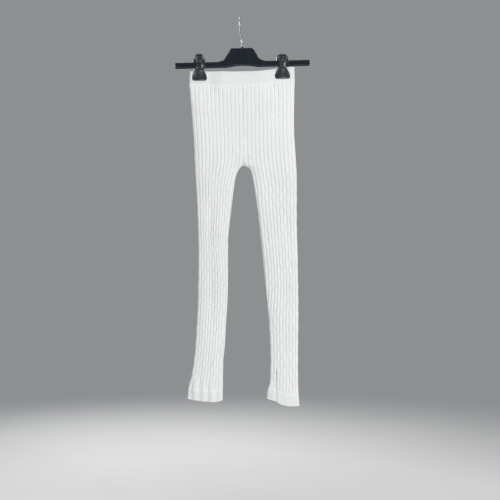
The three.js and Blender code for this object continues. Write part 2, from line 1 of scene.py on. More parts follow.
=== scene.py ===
# Leggings in a waved rib knit, hung flat by two clips from a plastic hanger with a wire hook.
# Sizes are in millimetres, as in the part's source, and are written to the meshes in metres.
# +Z is up, +X is to the viewer's right, and the garment's front faces -Y.
import math
import bpy
import numpy as np
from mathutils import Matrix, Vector


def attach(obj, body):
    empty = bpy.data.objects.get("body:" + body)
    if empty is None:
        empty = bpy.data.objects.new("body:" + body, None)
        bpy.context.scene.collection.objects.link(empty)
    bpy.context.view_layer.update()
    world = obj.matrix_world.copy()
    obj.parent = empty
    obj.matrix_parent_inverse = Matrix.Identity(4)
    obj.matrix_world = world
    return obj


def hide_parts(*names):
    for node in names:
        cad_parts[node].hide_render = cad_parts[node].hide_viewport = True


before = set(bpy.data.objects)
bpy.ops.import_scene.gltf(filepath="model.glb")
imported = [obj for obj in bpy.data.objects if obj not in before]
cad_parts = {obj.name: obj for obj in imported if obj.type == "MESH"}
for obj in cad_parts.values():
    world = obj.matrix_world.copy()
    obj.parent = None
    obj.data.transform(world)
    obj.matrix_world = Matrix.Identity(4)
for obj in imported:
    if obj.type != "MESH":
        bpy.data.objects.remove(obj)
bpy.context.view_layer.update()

MM = 0.001

# Cloth
SEAM_GAP = 0.3
LEG_WALL = 1.6
BAND_WALL = 2.2
RIB_HEIGHT = 1.0
RIBS_ROUND_LEG = 26
HALF_WAVES = 43
HIP_WAVE_SWING = 0.03
LEG_WAVE_SWING = 0.09
WAVES_SPAN = (-440, -260)
FOLD_ROUNDING = 26
LOOP_SAMPLES = 400

# Heights down the garment, before its top and bottom edges are bent to their curves
WAIST_TOP = -131
WAIST_SEAM = -160
HEM_SEAM = -893
HEM_BOTTOM = -916
LEG_TOP = WAIST_SEAM - SEAM_GAP
HALF_WAVE = (LEG_TOP - HEM_SEAM) / HALF_WAVES
CROTCH_Z = -355
CROTCH_RISE = 16
RIB_LEAN_TOP = -325
RIB_LEAN_BOTTOM = -430

# Meshes of the leg panels, by heights and the steps to the next and by columns for each rib, and
# of the bands
LEG_ROWS = [(LEG_TOP, 6), (LEG_TOP - 6, 80), (-335, 40), (-375, 219), (HEM_SEAM,)]
LEG_INSIDE_ROWS = [(LEG_TOP, 18), (-330, 14), (-375, 37), (HEM_SEAM,)]
COLUMNS_PER_RIB = 10
INSIDE_COLUMNS_PER_RIB = 2
WAISTBAND_COLUMNS = 320
HEM_COLUMNS = 220
BAND_ROWS = 24
BAND_INSIDE_ROWS = 8

# Between which heights the top edge and the hems bend, how deep the slack layers billow and how
# far along the back takes the same pattern, and how far from the middle a layer has its own folds
TOP_BEND = (-300, -165)
HEM_BEND = (-880, -760)
BILLOW = 0.45
BACK_BILLOW_SHIFT = 400
LAYER_CLEAR = (0.4, 3.0)

# Height and half the space between the front and back layers
HOLLOW = [(-120, 4.8), (-170, 5.4), (-230, 6.4), (-355, 6.4), (-450, 5.4), (-620, 5.0),
          (-880, 4.8), (-930, 5.2)]

# Height and x: the seam down the middle of the seat, and the outer and inner edges of each leg
CENTRE = [(-120, 6.0), (-355, 9.3)]
RIGHT_OUTER = [
    (-120, -118.0), (-133, -118.8), (-156, -120.0), (-181, -118.4), (-219, -115.0),
    (-295, -109.2), (-357, -106.4), (-447, -101.2), (-562, -97.8), (-676, -99.3),
    (-733, -102.0), (-790, -105.6), (-847, -112.2), (-895, -122.4), (-930, -124.0),
]
RIGHT_INNER = [
    (-355, 9.15), (-357, 4.0), (-366, -3.0), (-390, -11.0), (-447, -18.2), (-504, -24.8),
    (-533, -27.2), (-647, -27.8), (-733, -32.4), (-790, -35.8), (-819, -38.8), (-930, -40.2),
]
LEFT_OUTER = [
    (-120, 130.2), (-151, 131.4), (-257, 129.8), (-333, 133.8), (-390, 136.6), (-476, 136.6),
    (-590, 139.0), (-704, 140.4), (-819, 139.6), (-876, 140.2), (-930, 144.0),
]
LEFT_INNER = [
    (-355, 9.45), (-357, 16.4), (-366, 26.6), (-390, 32.4), (-447, 41.4), (-533, 51.2),
    (-647, 62.6), (-733, 70.6), (-819, 73.8), (-876, 72.0), (-895, 66.4), (-930, 63.6),
]

# Height and how many ribs the front of each leg shows. The others run out at the inner seam
RIGHT_RIBS = [(-160, 13), (-325, 13), (-450, 12.3), (-520, 12.2), (-620, 10.8), (-893, 10.3)]
LEFT_RIBS = [(-160, 13), (-325, 13), (-450, 11.3), (-620, 11.2), (-740, 9.0), (-893, 9.0)]

# X and how far the top edge and each bottom edge stand above their level there
TOP_EDGE = [(-120, 1.0), (-70, 0.0), (-10, -0.7), (30, 0.0), (54, 1.6), (83, 6.2), (124, 11.2),
            (132, 10.7)]
RIGHT_HEM_EDGE = [(-124, 6.0), (-88, 1.0), (-60, -1.0), (-40, 3.0)]
LEFT_HEM_EDGE = [(64, 7.0), (74, 4.0), (83, 1.5), (102, -7.6), (121, -11.0), (144, -10.4)]

# Folds near the ankles, as in the solids, with a sharper crease
FLUTE_PITCH = 20.0
FLUTE_DEPTH = 1.3
FLUTE_CREST_X = -86.0
FLUTE_TOP = -850
CREASE_X = 87.0
CREASE_TOP = -832
CREASE_GROWN = -850
CREASE_DEPTH = 3.6
CREASE_WIDTH = 2.2
CREASE_FROM_EDGE = 3.0
CREASE_FULL = 9.0

# Soft troughs and ridges: x and height of their two ends, width, and depth (negative is a ridge),
# which share of the width they bend sideways, and where along them they start and end
FOLD_BEND = 0.12
FOLD_START = (-0.12, 0.34)
FOLD_END = (0.6, 1.12)
FRONT_FOLDS = [
    (6.5, -172, 7.6, -236, 4.5, 0.8),
    (-6, -266, -3, -334, 5, 0.7),
    (13, -260, 13.5, -330, 4.5, 0.7),
    (15, -328, 13, -352, 6, 1.5),
    (16, -344, 48, -318, 5, 0.5),
    (-2, -342, -42, -310, 6, 0.4),
    (-72, -378, -66, -430, 12, -1.0),
    (-71, -446, -69, -576, 7, 1.7),
    (-50, -436, -47, -560, 9, -1.1),
    (-50, -566, -47, -704, 9, -1.0),
    (-69, -598, -64, -752, 7, 1.2),
    (-25, -543, -45, -557, 4, 1.3),
    (-88, -640, -90, -790, 7, -0.7),
    (113, -458, 117, -552, 9, 1.6),
    (61, -500, 68, -548, 3.5, 1.1),
    (119, -562, 121, -618, 8, 0.7),
    (92, -600, 96, -716, 9, -0.8),
    (104, -724, 108, -812, 8, 0.7),
    (-94, -806, -95, -908, 6, 0.9),
    (-49, -764, -47, -900, 8, 1.3),
    (-74, -786, -75, -852, 5, 0.6),
    (92, -846, 95, -908, 7, 0.8),
    (119, -830, 121, -912, 7, 0.5),
    (-122, -897, -102, -906, 3, 0.5),
    (-109, -172, -104, -214, 4.5, 0.6),
    (-84, -174, -87, -226, 5, 0.6),
    (88, -168, 92, -212, 4.5, 0.6),
    (114, -166, 112, -222, 5, 0.6),
]
BACK_FOLDS = [
    (6.8, -176, 8.2, -300, 5, 0.8),
    (28, -250, 24, -338, 6, 0.7),
    (-14, -270, -8, -344, 5, 0.7),
    (20, -340, 58, -312, 6, 0.6),
    (-4, -338, -52, -306, 7, 0.6),
    (60, -372, 66, -440, 12, -1.0),
    (88, -430, 96, -566, 8, 1.5),
    (70, -470, 80, -590, 8, -0.9),
    (112, -590, 110, -742, 8, 1.2),
    (-62, -404, -58, -520, 8, 1.5),
    (-84, -440, -82, -556, 9, -1.0),
    (-46, -560, -52, -700, 7, 1.1),
    (-34, -538, -58, -552, 5, 1.1),
    (-80, -620, -84, -786, 8, 1.0),
    (-66, -742, -68, -866, 7, -0.8),
    (128, -640, 126, -760, 6, -0.7),
    (92, -742, 94, -850, 7, -0.7),
    (106, -838, 108, -908, 6, 1.0),
    (-110, -830, -114, -906, 5, 0.8),
    (-104, -170, -100, -220, 5, 0.6),
    (96, -168, 98, -224, 5, 0.6),
    (-30, -180, -28, -262, 8, 0.6),
    (70, -196, 66, -284, 9, 0.6),
]

# Hanger: a rail that tilts up to the viewer's right, with flanges round a thinner web
RAIL_LENGTH = 320
RAIL_HEIGHT = 13
RAIL_DEPTH = 9
RAIL_CENTRE = (6.75, -113.9)
RAIL_TILT = math.radians(1.36)
RAIL_END_RADIUS = 3
FLANGE = 2.2
WEB_DEPTH = 4.4
RIM_ROUNDING = 0.7
HUMP_TOP = 38.3
HUMP_LEFT = {"foot": -60, "waist": -40.5, "shoulder": -27.5}
HUMP_LEFT_CORNER = 4
HUMP_RIGHT = {"foot": 56, "waist": 36, "shoulder": 31}
HUMP_RIGHT_CORNER = 10
HUMP_RIGHT_CUT = 3.5
ARCH_HALF_WIDTH = 36
ARCH_RISE = 4
NUB_RADIUS = 4.6
NUB_HEIGHT = 3.4
NUB_TAPER = 0.7
POST_RADIUS = 3.4
BEND_STEPS = 10

# Wire hook, bent in the plane across the hanger
WIRE_RADIUS = 1.6
HOOK_RADIUS = 21
HOOK_STRAIGHT_TOP = -22
HOOK_FOOT_DEPTH = 9
BORE_CLEARANCE = 0.35
HOOK_SIDES = 20
HOOK_ARC = range(-35, 213, 13)
HOOK_STEM = [(0.0, -60.0), (-2.6, -51.7), (-8.6, -43.7)]

# Clips
CLIPS = {
    "clip_right": {"x": -95.4, "lever": 19.8, "neck": 17.6, "jaw": 35.0,
                   "front_top": 25.2, "back_top": 25.2, "grip_ribs": 5},
    "clip_left": {"x": 102, "lever": 24.0, "neck": 14.0, "jaw": 36.0,
                  "front_top": 19.2, "back_top": 24.2, "grip_ribs": 0},
}
SLIDER = {"width": 27, "depth": 13.6, "above": 15, "below": 8, "radius": 2}
RAIL_CLEARANCE = 0.35
JAW_FACE = SEAM_GAP / 2 + BAND_WALL + SEAM_GAP
SLIDER_FACE = SLIDER["depth"] / 2 + SEAM_GAP
PINCH_HALF_WIDTH = 22
PINCH_FADE = 34
PINCH_BOTTOM = -215

# One clip half from its lever to its jaw: height, as a share of the top or in millimetres,
# width as shares of the lever, neck and jaw, the inner face's distance from the middle, thickness
CLIP_ROWS = [
    ("up", 1.0, (0.42, 0, 0), 9.7, 1.6),
    ("up", 0.97, (0.66, 0, 0), 9.6, 2.1),
    ("up", 0.91, (0.86, 0, 0), 9.3, 2.5),
    ("up", 0.8, (0.98, 0, 0), 8.8, 2.8),
    ("up", 0.5, (0.98, 0, 0), 7.7, 2.8),
    ("up", 0.2, (0.4, 0.6, 0), SLIDER_FACE, 3.0),
    ("mm", -4, (0, 1.0, 0), SLIDER_FACE, 3.4),
    ("mm", -11, (0, 0.85, 0.15), SLIDER_FACE, 2.2),
    ("mm", -18, (0, 0.45, 0.55), 4.8, 2.6),
    ("mm", -25, (0, 0, 0.95), JAW_FACE, 3.1),
    ("mm", -30, (0, 0, 1.0), JAW_FACE, 2.2),
    ("mm", -34.4, (0, 0, 0.96), JAW_FACE, 1.6),
    ("mm", -36.4, (0, 0, 0.84), JAW_FACE, 1.1),
]
CLIP_CROWN = 0.75
CLIP_SQUARENESS = 4
CLIP_SIDES = 64
CLIP_STEPS = 8

# Low relief on a clip half: grip ribs between shares of the lever's height, the lip's height, place
# and width, the step above the jaw, and the hollow over the pivot, placed by a share of the lever
GRIP_PITCH = 2.2
GRIP_HEIGHT = 0.3
GRIP_BOTTOM = (0.42, 0.55)
GRIP_TOP = (0.86, 0.95)
LIP = (0.35, -32.4, 1.1)
JAW_STEP = 0.3
JAW_STEP_AT = (-19.5, -21)
PIVOT_HOLLOW = 0.9
PIVOT_HOLLOW_AT = 0.24
PIVOT_HOLLOW_WIDTH = 2.0

# Knit surface: how far the shallow grooves fill up, how narrow grooves are at the hips and down
# the legs, how uneven the ribs' places and heights are, how far the legs stay from the middle seam,
# and how the ribs fade into the bands
GROOVE_FILL = 0.35
HIP_NARROWNESS = 9
LEG_NARROWNESS = 4
RIB_UNEVENNESS = 0.05
RIB_HEIGHT_UNEVENNESS = 0.12
TOUCHING = 0.02
RIBS_GROWN = 13
WAISTBAND_RIPPLE = 0.12
HEM_RIPPLE = 0.5
RIPPLE_REACH = 9
SEAM_RIM = 0.2

# A band's free edge: how high and how far from the rim its roll and the dip behind it are, and
# how wide
RIM_ROLL = (0.4, 2.2, 1.4)
RIM_DIP = (0.3, 5.2, 1.0)

# Stitches
WALES_PER_RIB = 2
STITCH_HEIGHT = 2.0

# Colours, how much painted shade darkens the grooves at the hips and down the legs, and how rough
# the plastic is
RIB_KNIT_COLOUR = (0.80, 0.806, 0.80)
# The plain knit's colour is darker than the rib knit's as painted shade, matching the ribs' painted
# groove shade on average
PLAIN_KNIT_SHADED_COLOUR = (0.752, 0.758, 0.752)
HIP_GROOVE_SHADE = 0.92
LEG_GROOVE_SHADE = 0.80
HANGER_COLOUR = (0.0045, 0.008, 0.015)
# The clips' plastic is lighter than the hanger's: partly its own tone, partly a painted reflection
# standing in for the highlights on the jaws
CLIP_COLOUR_AND_PAINTED_SHEEN = (0.012, 0.015, 0.0215)
WIRE_COLOUR = (0.48, 0.49, 0.5)
FLOOR_COLOUR = (0.70, 0.70, 0.69)
WORLD_COLOUR = (0.27, 0.275, 0.285)
HANGER_ROUGHNESS = 0.22
CLIP_ROUGHNESS = 0.26

# Stage in metres: the floor's height and radius
FLOOR_Z = -1.25
FLOOR_RADIUS = 2.4

# Lights in metres and watts: where each stands and aims, its size, power and colour
LIGHTS = [
    ("Key", (2.1, -1.7, 0.2), (0, 0, -0.6), 1.1, 44, (0.995, 0.99, 0.98)),
    ("Fill", (-1.5, -1.9, -0.5), (0, 0, -0.55), 1.2, 13, (0.985, 0.99, 0.995)),
    ("Low", (0.3, -2.2, -1.1), (0, 0, -0.7), 0.8, 9, (0.95, 0.98, 1.0)),
    ("Back", (-0.8, 2.2, 0.4), (0, 0, -0.5), 1.4, 40, (1, 1, 1)),
    ("Top", (-0.1, -0.5, 1.3), (0, 0, -0.2), 0.8, 9, (1, 1, 1)),
]

# Camera in metres: distance, the width it takes in at the garment, and the view's centre
CAMERA_DISTANCE = 2.2
VIEW_WIDTH = 1.19
VIEW_CENTRE = (0.0248, -0.5556)

random = np.random.default_rng(7)


# Curves and surfaces in millimetres

def curve(rows):
    """A smooth curve through (place, value) rows that never swings past them."""
    places, values = np.array(sorted(rows), float).T
    rises = np.diff(values) / np.diff(places)
    agree = rises[:-1] * rises[1:] > 0
    total = np.where(agree, rises[:-1] + rises[1:], 1)
    inside = np.where(agree, 2 * rises[:-1] * rises[1:] / total, 0)
    slopes = np.concatenate([rises[:1], inside, rises[-1:]])

    def at(place):
        place = np.clip(place, places[0], places[-1])
        i = np.clip(np.searchsorted(places, place, side="right") - 1, 0, len(rises) - 1)
        span = places[i + 1] - places[i]
        t = (place - places[i]) / span
        line = values[i] + (values[i + 1] - values[i]) * t * t * (3 - 2 * t)
        return line + t * (1 - t) * span * (slopes[i] * (1 - t) - slopes[i + 1] * t)

    return at


def smoothstep(value, low, high):
    t = np.clip((value - low) / (high - low), 0, 1)
    return t * t * (3 - 2 * t)


def bump(value, height, at, width):
    return height * np.exp(-(((value - at) / width) ** 2))


def rounded(distance):
    """A quarter circle from 0 at a folded edge to 1 where the layers run parallel."""
    return np.sqrt(1 - (1 - np.clip(distance, 0, 1)) ** 2)


hollow_half = curve(HOLLOW)
centre_x = curve(CENTRE)
top_rise = curve(TOP_EDGE)
LEGS = {
    "right": {"side": -1, "outer": curve(RIGHT_OUTER), "inner": curve(RIGHT_INNER),
              "ribs": curve(RIGHT_RIBS), "hem_rise": curve(RIGHT_HEM_EDGE)},
    "left": {"side": 1, "outer": curve(LEFT_OUTER), "inner": curve(LEFT_INNER),
             "ribs": curve(LEFT_RIBS), "hem_rise": curve(LEFT_HEM_EDGE)},
}


def soft_noise(waves, size):
    """A smooth uneven function of two lengths, made of seeded waves about size long, within 1."""
    turns = random.uniform(0, 2 * math.pi, waves)
    lengths = size * random.uniform(0.7, 1.5, waves)
    phases = random.uniform(0, 2 * math.pi, waves)

    def at(a, b):
        total = 0
        for turn, length, phase in zip(turns, lengths, phases):
            along = a * math.cos(turn) + b * math.sin(turn)
            total = total + np.sin(2 * math.pi * along / length + phase)
        return total / waves

    return at


billow = soft_noise(7, 70)
wander = soft_noise(6, 45)
unevenness = soft_noise(8, 26)


def pinch(x, z):
    """1 where a clip presses the layers together, fading to 0 round it and below it."""
    presses = [1 - smoothstep(abs(x - clip["x"]) - PINCH_HALF_WIDTH, 0, PINCH_FADE)
               for clip in CLIPS.values()]
    return smoothstep(z, PINCH_BOTTOM, WAIST_SEAM) * np.maximum(*presses)


def flat_loops(z, start, fold, opened):
    """At each height, the flattened loop of cloth round its inside: along the front from one
    edge to the fold, and back behind. opened is 0 where the first edge is shut, 1 where open."""
    along = (1 - np.cos(np.linspace(0, math.pi, LOOP_SAMPLES + 1))) / 2
    z, start, fold, opened = (np.broadcast_to(part, z.shape)[:, None]
                              for part in (z, start, fold, opened))
    width = abs(fold - start)
    rounding = np.minimum(FOLD_ROUNDING, 0.45 * width)
    x = start + (fold - start) * along
    from_start = rounded(opened + along * width / rounding)
    from_fold = rounded((1 - along) * width / rounding)
    gap = hollow_half(z) * from_start * from_fold * (1 - pinch(x, z))
    front = -np.maximum(gap, SEAM_GAP / 2)
    front[:, -1] = 0
    return np.hstack([x, x[:, -2::-1]]), np.hstack([front, -front[:, -2::-1]])


def along_loops(loops, place, side, ring):
    """Points of the loops at shares of their lengths, and the directions out of them."""
    x, y = loops
    steps = np.hypot(np.diff(x), np.diff(y))
    share = np.hstack([np.zeros((len(x), 1)), np.cumsum(steps, axis=1)])
    share /= share[:, -1:]

    def sample(at):
        at = at % 1 if ring else np.clip(at, 0, 1)
        return np.stack([[np.interp(at[r], share[r], values[r]) for r in range(len(x))]
                         for values in (x, y)], axis=-1)

    reach = 0.004
    along = sample(place + reach) - sample(place - reach)
    along /= np.linalg.norm(along, axis=-1, keepdims=True)
    return sample(place), np.stack([along[..., 1] * side, -along[..., 0] * side], axis=-1)


def soft_folds(x, z, folds):
    """How deep the listed troughs and ridges are at each point."""
    total = np.zeros_like(x)
    for x1, z1, x2, z2, width, depth in folds:
        length = math.hypot(x2 - x1, z2 - z1)
        ux, uz = (x2 - x1) / length, (z2 - z1) / length
        along = ((x - x1) * ux + (z - z1) * uz) / length
        across = (x - x1) * uz - (z - z1) * ux
        bend = FOLD_BEND * width * np.sin(5 * along + x1)
        grown = smoothstep(along, *FOLD_START) * (1 - smoothstep(along, *FOLD_END))
        total += depth * grown * np.exp(-(((across - bend) / width) ** 2))
    return total


def drape(leg, points):
    """Bends the flat garment to its edges' curves and to its folds."""
    x, y, z = points[..., 0], points[..., 1], points[..., 2]
    rise = top_rise(x) * smoothstep(z, *TOP_BEND)
    shift = np.zeros_like(x)
    if leg:
        rise = rise + leg["hem_rise"](x) * (1 - smoothstep(z, *HEM_BEND))
    if leg is LEGS["right"]:
        grown = 1 - smoothstep(z, HEM_SEAM, FLUTE_TOP)
        shift -= FLUTE_DEPTH * grown * np.cos(2 * math.pi * (x - FLUTE_CREST_X) / FLUTE_PITCH)
    front = smoothstep(-y, *LAYER_CLEAR)
    back = smoothstep(y, *LAYER_CLEAR)
    if leg is LEGS["left"]:
        clear = smoothstep(x - leg["inner"](z), CREASE_FROM_EDGE, CREASE_FULL)
        grown = clear * (1 - smoothstep(z, CREASE_GROWN, CREASE_TOP))
        crease = CREASE_DEPTH * grown * np.exp(-(((x - CREASE_X) / CREASE_WIDTH) ** 2))
        shift += np.where(y < 0, crease, 0)
    shift += front * (soft_folds(x, z, FRONT_FOLDS) - BILLOW * billow(x, z))
    shift -= back * (soft_folds(x, z, BACK_FOLDS) - BILLOW * billow(x + BACK_BILLOW_SHIFT, z))
    return np.stack([x, y + shift, z + rise], axis=-1)


# Meshes

def grid_faces(rows, columns, first=0, ring=False):
    """Quads of a grid whose points are numbered row by row."""
    across = columns if ring else columns - 1
    r, c = np.meshgrid(np.arange(rows - 1), np.arange(across), indexing="ij")
    right = (c + 1) % columns
    quads = np.stack([r * columns + c, r * columns + right, (r + 1) * columns + right,
                      (r + 1) * columns + c], axis=-1)
    return (quads.reshape(-1, 4) + first).tolist()


def zip_edges(edge, edge_places, rim, rim_places):
    """Triangles that join two rows of points, each point having a place along its row."""
    triangles = []
    i = j = 0
    while i < len(edge) - 1 or j < len(rim) - 1:
        next_edge = edge_places[i + 1] if i < len(edge) - 1 else math.inf
        next_rim = rim_places[j + 1] if j < len(rim) - 1 else math.inf
        if next_edge <= next_rim:
            triangles.append((edge[i + 1], edge[i], rim[j]))
            i += 1
        else:
            triangles.append((edge[i], rim[j], rim[j + 1]))
            j += 1
    return triangles


def wall_faces(outer, inner, ring):
    """A closed wall between two grids. Each is (points, row places, column places)."""
    shapes = [grid[0].shape[:2] for grid in (outer, inner)]
    first = shapes[0][0] * shapes[0][1]
    numbers = [np.arange(shapes[0][0] * shapes[0][1]).reshape(shapes[0]),
               np.arange(shapes[1][0] * shapes[1][1]).reshape(shapes[1]) + first]
    faces = grid_faces(*shapes[0], ring=ring)
    faces += [quad[::-1] for quad in grid_faces(*shapes[1], first=first, ring=ring)]
    places = [(list(grid[1]), list(grid[2])) for grid in (outer, inner)]
    if ring:
        numbers = [np.hstack([grid, grid[:, :1]]) for grid in numbers]
        places = [(rows, columns + [1.0]) for rows, columns in places]
    (outer_rows, outer_columns), (inner_rows, inner_columns) = places
    for row, flipped in ((0, False), (-1, True)):
        joined = zip_edges(numbers[0][row], outer_columns, numbers[1][row], inner_columns)
        faces += [face[::-1] for face in joined] if flipped else joined
    if not ring:
        for column, flipped in ((0, True), (-1, False)):
            joined = zip_edges(numbers[0][:, column], outer_rows, numbers[1][:, column],
                               inner_rows)
            faces += [face[::-1] for face in joined] if flipped else joined
    return faces


def add_mesh(name, points, faces, material, uv=None, sharp=None):
    """A piece from points in millimetres. sharp is the angle over which an edge stays crisp."""
    mesh = bpy.data.meshes.new(name)
    mesh.from_pydata((np.asarray(points) * MM).tolist(), [], [tuple(map(int, f)) for f in faces])
    mesh.validate()
    if uv is not None:
        layer = mesh.uv_layers.new(name="knit")
        corners = np.empty(len(mesh.loops), dtype=np.int32)
        mesh.loops.foreach_get("vertex_index", corners)
        layer.data.foreach_set("uv", np.asarray(uv, dtype=np.float32)[corners].ravel())
    mesh.shade_smooth()
    if sharp:
        mesh.set_sharp_from_angle(angle=math.radians(sharp))
    mesh.materials.append(material)
    piece = bpy.data.objects.new(name, mesh)
    bpy.context.scene.collection.objects.link(piece)
    return piece


def face_outwards(piece):
    """Turns the faces over if the closed mesh's volume comes out negative."""
    mesh = piece.data
    mesh.calc_loop_triangles()
    corners = np.empty(len(mesh.loop_triangles) * 3, dtype=np.int32)
    mesh.loop_triangles.foreach_get("vertices", corners)
    points = np.empty(len(mesh.vertices) * 3)
    mesh.vertices.foreach_get("co", points)
    a, b, c = points.reshape(-1, 3)[corners].reshape(-1, 3, 3).transpose(1, 0, 2)
    if np.einsum("ij,ij->", a, np.cross(b, c)) < 0:
        mesh.flip_normals()
    return piece


def loft(rings, closed=False):
    """Points and faces of a tube through rings of points, capped at its ends unless closed."""
    rings = np.asarray(rings, float)
    rows, columns = rings.shape[:2]
    if closed:
        rings = np.concatenate([rings, rings[:1]])
        quads = np.array(grid_faces(rows + 1, columns, ring=True))
        return rings[:-1].reshape(-1, 3), (quads % (rows * columns)).tolist()
    faces = grid_faces(rows, columns, ring=True)
    faces.append(list(range(columns))[::-1])
    faces.append(list(range((rows - 1) * columns, rows * columns)))
    return rings.reshape(-1, 3), faces


def sweep(route, radii, sides):
    """Rings round a route, kept from twisting, with one radius for each of its points."""
    route = np.asarray(route, float)
    along = np.gradient(route, axis=0)
    along /= np.linalg.norm(along, axis=1, keepdims=True)
    across = np.array([1.0, 0.0, 0.0])
    turns = np.linspace(0, 2 * math.pi, sides, endpoint=False)
    rings = []
    for point, ahead, radius in zip(route, along, radii):
        across = across - ahead * across.dot(ahead)
        across /= np.linalg.norm(across)
        up = np.cross(ahead, across)
        ring = np.outer(np.cos(turns), across) + np.outer(np.sin(turns), up)
        rings.append(point + radius * ring)
    return rings


def smooth_route(points, steps):
    """A centripetal Catmull-Rom curve through the points."""
    points = np.asarray(points, float)
    padded = np.vstack([2 * points[0] - points[1], points, 2 * points[-1] - points[-2]])
    route = []
    for a, b, c, d in zip(padded, padded[1:], padded[2:], padded[3:]):
        before, here, after = (np.linalg.norm(q - p) ** 0.5 for p, q in ((a, b), (b, c), (c, d)))
        enter = c - b + here * ((b - a) / before - (c - a) / (before + here))
        leave = c - b + here * ((d - c) / after - (d - b) / (here + after))
        square = 3 * (c - b) - 2 * enter - leave
        cube = enter + leave - 2 * (c - b)
        for t in np.linspace(0, 1, steps, endpoint=False):
            route.append(b + enter * t + square * t ** 2 + cube * t ** 3)
    route.append(points[-1])
    return np.array(route)


def joined(*shapes):
    """One list of points and one of faces from several."""
    points = np.concatenate([shape[0] for shape in shapes])
    firsts = np.cumsum([0] + [len(shape[0]) for shape in shapes[:-1]])
    faces = [[i + first for i in face] for first, shape in zip(firsts, shapes)
             for face in shape[1]]
    return points, faces


# Cloth pieces

def waved_ribs(leg, z, place):
    """The loop's places counted in ribs from the outer fold. Grooves, where this is whole,
    swing to and fro down the leg, and neighbours swing opposite ways."""
    lean = smoothstep(z, RIB_LEAN_BOTTOM, RIB_LEAN_TOP)
    low_edge = leg["inner"](RIB_LEAN_BOTTOM)
    soft_edge = low_edge + (centre_x(RIB_LEAN_TOP) - low_edge) * lean
    leaning = (z < RIB_LEAN_TOP) & (z > RIB_LEAN_BOTTOM)
    edge = np.where(z > CROTCH_Z, centre_x(z), leg["inner"](z))
    spread = np.where(leaning, (leg["outer"](z) - edge) / (leg["outer"](z) - soft_edge), 1)
    ribs = (2 * place - 1) * leg["ribs"](z) * spread
    grown = 1 - smoothstep(z, *WAVES_SPAN)
    swing = HIP_WAVE_SWING + (LEG_WAVE_SWING - HIP_WAVE_SWING) * grown
    wave = np.cos(math.pi * ribs) * np.cos(math.pi * (LEG_TOP - z) / HALF_WAVE)
    return ribs - swing * wave + RIB_UNEVENNESS * unevenness(30 * ribs, z)


def rib_profile(ribs, z):
    """Height of the ribs from 0 to 1. Neighbouring grooves are deep by turns down the leg."""
    phase = math.pi * (LEG_TOP - z) / HALF_WAVE + 0.5 * wander(60 * ribs, 8 * z)
    fill = GROOVE_FILL * (1 + np.cos(math.pi * ribs) * np.sin(phase)) / 2
    narrowness = LEG_NARROWNESS
    narrowness = narrowness + (HIP_NARROWNESS - narrowness) * smoothstep(z, *WAVES_SPAN)
    return 1 - (1 - fill) * abs(np.cos(math.pi * ribs)) ** narrowness


def leg_points(leg, z, place, outside):
    """A leg panel's points at the heights z and at the places round it, and their ribs."""
    side, inner, outer = leg["side"], leg["inner"], leg["outer"]
    opened = np.clip((z - CROTCH_Z) / CROTCH_RISE, 0, 1)
    edge = np.where(z > CROTCH_Z, centre_x(z) + side * TOUCHING, inner(z))
    turned = rounded(opened)
    start = edge + side * LEG_WALL * (1 - turned)
    fold = outer(z) - side * (LEG_WALL + RIB_HEIGHT / 2)
    rows, place = np.meshgrid(z, place, indexing="ij")
    points, out = along_loops(flat_loops(z, start, fold, opened), place, side, False)
    points[:, [0, -1], 1] *= 0.1 + 0.9 * turned[:, None]
    ribs = waved_ribs(leg, rows, place)
    if outside:
        profile = rib_profile(ribs, rows)
        uneven = 1 + RIB_HEIGHT_UNEVENNESS * unevenness(40 * ribs, rows)
        ribbed = LEG_WALL + RIB_HEIGHT * profile * uneven
        ripple = np.where(rows > CROTCH_Z, WAISTBAND_RIPPLE, HEM_RIPPLE)
        plain = BAND_WALL + ripple * (profile - 0.5)
        grown = smoothstep(np.minimum(LEG_TOP - rows, rows - HEM_SEAM), 0, RIBS_GROWN)
        wall = plain + (ribbed - plain) * grown
        seam_y = points[:, [0, -1], 1]
        points = points + out * wall[..., None]
        points[..., 0] = side * np.maximum(side * points[..., 0], side * edge[:, None])
        points[:, [0, -1], 0] = edge[:, None]
        points[:, [0, -1], 1] = seam_y + np.sign(seam_y) * wall[:, [0, -1]] * turned[:, None]
    return drape(leg, np.dstack([points, rows])), ribs


def spaced(rows):
    """Heights from rows of a height and the number of steps to the next row's."""
    parts = [np.linspace(start, end, steps, endpoint=False)
             for (start, steps), (end, *_) in zip(rows, rows[1:])]
    return np.concatenate([*parts, rows[-1]])


def make_leg(name, leg, material):
    z, inside_z = spaced(LEG_ROWS), spaced(LEG_INSIDE_ROWS)
    place, inside_place = (np.linspace(0, 1, columns * RIBS_ROUND_LEG + 1)
                           for columns in (COLUMNS_PER_RIB, INSIDE_COLUMNS_PER_RIB))
    outer, ribs = leg_points(leg, z, place, True)
    inner, inside_ribs = leg_points(leg, inside_z, inside_place, False)
    faces = wall_faces((outer, -z, place), (inner, -inside_z, inside_place), ring=False)
    uv = np.concatenate([stitch_map(z, ribs), stitch_map(inside_z, inside_ribs)])
    points = np.concatenate([outer.reshape(-1, 3), inner.reshape(-1, 3)])
    return face_outwards(add_mesh(name, points, faces, material, uv=uv, sharp=60))


def stitch_map(z, ribs):
    """Texture places of a grid: across in ribs, down in rows of stitches."""
    down = np.broadcast_to((LEG_TOP - z)[:, None] / STITCH_HEIGHT, ribs.shape)
    return np.stack([ribs, down], axis=-1).reshape(-1, 2)


